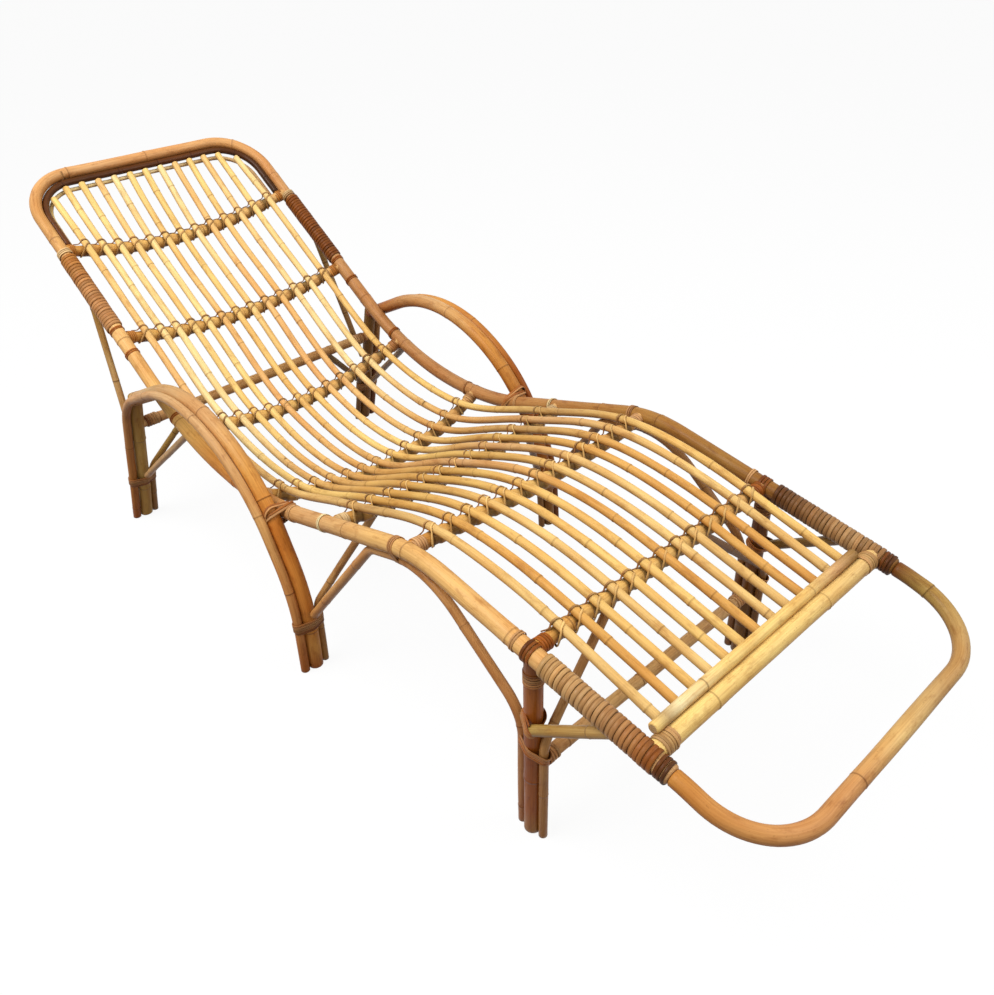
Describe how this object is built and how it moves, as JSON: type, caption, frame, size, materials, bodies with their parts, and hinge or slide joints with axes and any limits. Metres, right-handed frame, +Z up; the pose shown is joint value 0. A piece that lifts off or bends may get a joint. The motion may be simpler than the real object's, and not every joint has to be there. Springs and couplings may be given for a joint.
{
  "type": "rattan chaise longue",
  "caption": "Long reclining chair of bent and lashed rattan canes, with a slatted back, seat and leg rest, looped armrests and a bowed foot end.",
  "frame": {"origin": "centre of the footprint on the floor, under the middle of the overall length and width", "axes": "+Y along the chaise from the foot end to the head end, +Z up, +X to the left of the person lying on it"},
  "size_m": [0.6916, 1.9502, 0.6922],
  "materials": {
    "frame_pole": "satin varnish over whole rattan pole",
    "slat_cane": "satin varnish over thin rattan cane",
    "brace_cane": "satin varnish over darker rattan cane",
    "binding": "split cane skin, satin"
  },
  "bodies": {
    "root": {"main_rail": "frame_pole", "foot_loop": "frame_pole", "head_crossbar": "frame_pole", "back_crossbar": "frame_pole", "lumbar_crossbar": "frame_pole", "seat_crossbar": "frame_pole", "thigh_crossbar": "frame_pole", "knee_crossbar": "frame_pole", "calf_crossbar": "frame_pole", "end_bar": "frame_pole", "inner_head_cane": "brace_cane", "slat_top_cane": "slat_cane", "slat_01": "slat_cane", "slat_02": "slat_cane", "slat_03": "slat_cane", "slat_04": "slat_cane", "slat_05": "slat_cane", "slat_06": "slat_cane", "slat_07": "slat_cane", "slat_08": "slat_cane", "slat_09": "slat_cane", "slat_10": "slat_cane", "slat_11": "slat_cane", "slat_12": "slat_cane", "slat_13": "slat_cane", "slat_end_cap": "frame_pole", "rear_post_right": "frame_pole", "rear_post_left": "frame_pole", "arm_pole_right": "frame_pole", "arm_pole_left": "frame_pole", "arm_hoop_right": "frame_pole", "arm_hoop_left": "frame_pole", "front_post_right": "frame_pole", "front_post_left": "frame_pole", "front_stretcher": "frame_pole", "rear_stretcher": "frame_pole", "back_strut_right": "brace_cane", "back_strut_left": "brace_cane", "arm_strut_right": "brace_cane", "arm_strut_left": "brace_cane", "knee_brace_right": "brace_cane", "knee_brace_left": "brace_cane", "foot_brace_right": "brace_cane", "foot_brace_left": "brace_cane", "mid_corner_brace_right": "brace_cane", "mid_corner_brace_left": "brace_cane", "front_corner_brace_right": "brace_cane", "front_corner_brace_left": "brace_cane", "rear_corner_brace_right": "brace_cane", "rear_corner_brace_left": "brace_cane", "back_rail_binding_right": "binding", "back_rail_binding_left": "binding", "foot_rail_binding_right": "binding", "foot_rail_binding_left": "binding", "end_bar_bindings": "binding", "bar_end_bindings": "binding", "stretcher_bindings": "binding", "rail_lashings": "binding", "leg_bindings": "binding", "slat_lashings": "binding"}
  },
  "joints": []
}
